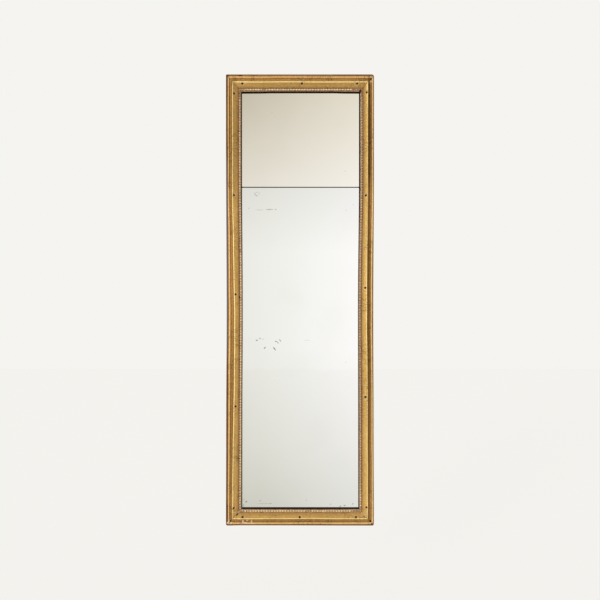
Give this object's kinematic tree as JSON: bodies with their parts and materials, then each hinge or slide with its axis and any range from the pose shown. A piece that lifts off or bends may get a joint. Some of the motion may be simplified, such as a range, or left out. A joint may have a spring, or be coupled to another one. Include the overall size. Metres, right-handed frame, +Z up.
{
  "type": "pier mirror",
  "caption": "Tall narrow giltwood pier mirror: mitred moulded frame with pearl beading, an upper and a lower mirror plate, boarded back and swinging hanging rings.",
  "frame": {"origin": "on the wall plane, at the middle of the flat on the back of the top rail", "axes": "+Z up, +Y backwards into the wall, +X to the right as the mirror is looked at, so the glass faces -Y"},
  "size_m": [0.525, 0.0594, 1.6],
  "materials": {
    "giltwood": "water-gilt wood, worn to red-brown bole on the edges and dark in the hollows",
    "gilt_pearls": "carved pearls, gilding rubbed thin over pale gesso",
    "hardwood": "bare aged hardwood",
    "upper_mirror": "old silvered glass, cream-toned, slightly uneven",
    "lower_mirror": "old silvered glass, grey-toned, with small losses in the silvering",
    "pine": "bare pine, darkened with age",
    "iron": "hand-forged iron, dark and lightly rusted"
  },
  "bodies": {
    "frame": {"left_stile": "giltwood", "right_stile": "giltwood", "top_rail": "giltwood", "bottom_rail": "giltwood", "left_pearl_strip": "gilt_pearls", "right_pearl_strip": "gilt_pearls", "top_pearl_strip": "gilt_pearls", "bottom_pearl_strip": "gilt_pearls", "top_left_mitre_key": "hardwood", "bottom_left_mitre_key": "hardwood", "top_right_mitre_key": "hardwood", "bottom_right_mitre_key": "hardwood", "upper_mirror_plate": "upper_mirror", "lower_mirror_plate": "lower_mirror", "plate_joint_slat": "pine", "left_glazing_block_1": "pine", "left_glazing_block_2": "pine", "left_glazing_block_3": "pine", "right_glazing_block_1": "pine", "right_glazing_block_2": "pine", "right_glazing_block_3": "pine", "top_glazing_block_1": "pine", "top_glazing_block_2": "pine", "bottom_glazing_block_1": "pine", "bottom_glazing_block_2": "pine", "backboard_1": "pine", "backboard_2": "pine", "backboard_3": "pine", "backboard_4": "pine", "backboard_5": "pine", "left_stile_nail_1": "iron", "left_stile_nail_2": "iron", "left_stile_nail_3": "iron", "left_stile_nail_4": "iron", "left_stile_nail_5": "iron", "right_stile_nail_1": "iron", "right_stile_nail_2": "iron", "right_stile_nail_3": "iron", "right_stile_nail_4": "iron", "right_stile_nail_5": "iron", "top_rail_nail_1": "iron", "top_rail_nail_2": "iron", "top_rail_nail_3": "iron", "bottom_rail_nail_1": "iron", "bottom_rail_nail_2": "iron", "bottom_rail_nail_3": "iron", "left_hanger_strap": "iron", "left_hanger_screw_1": "iron", "left_hanger_screw_2": "iron", "right_hanger_strap": "iron", "right_hanger_screw_1": "iron", "right_hanger_screw_2": "iron"},
    "left_ring": {"left_hanger_ring": "iron"},
    "right_ring": {"right_hanger_ring": "iron"}
  },
  "joints": [
    {"name": "left_ring_swing", "type": "hinge", "parent": "frame", "child": "left_ring", "pos_m": [-0.24383, 0.00485, -0.16967], "axis": [1, 0, 0], "range_deg": [0, 180]},
    {"name": "right_ring_swing", "type": "hinge", "parent": "frame", "child": "right_ring", "pos_m": [0.24483, 0.00485, -0.16967], "axis": [1, 0, 0], "range_deg": [0, 180]}
  ]
}
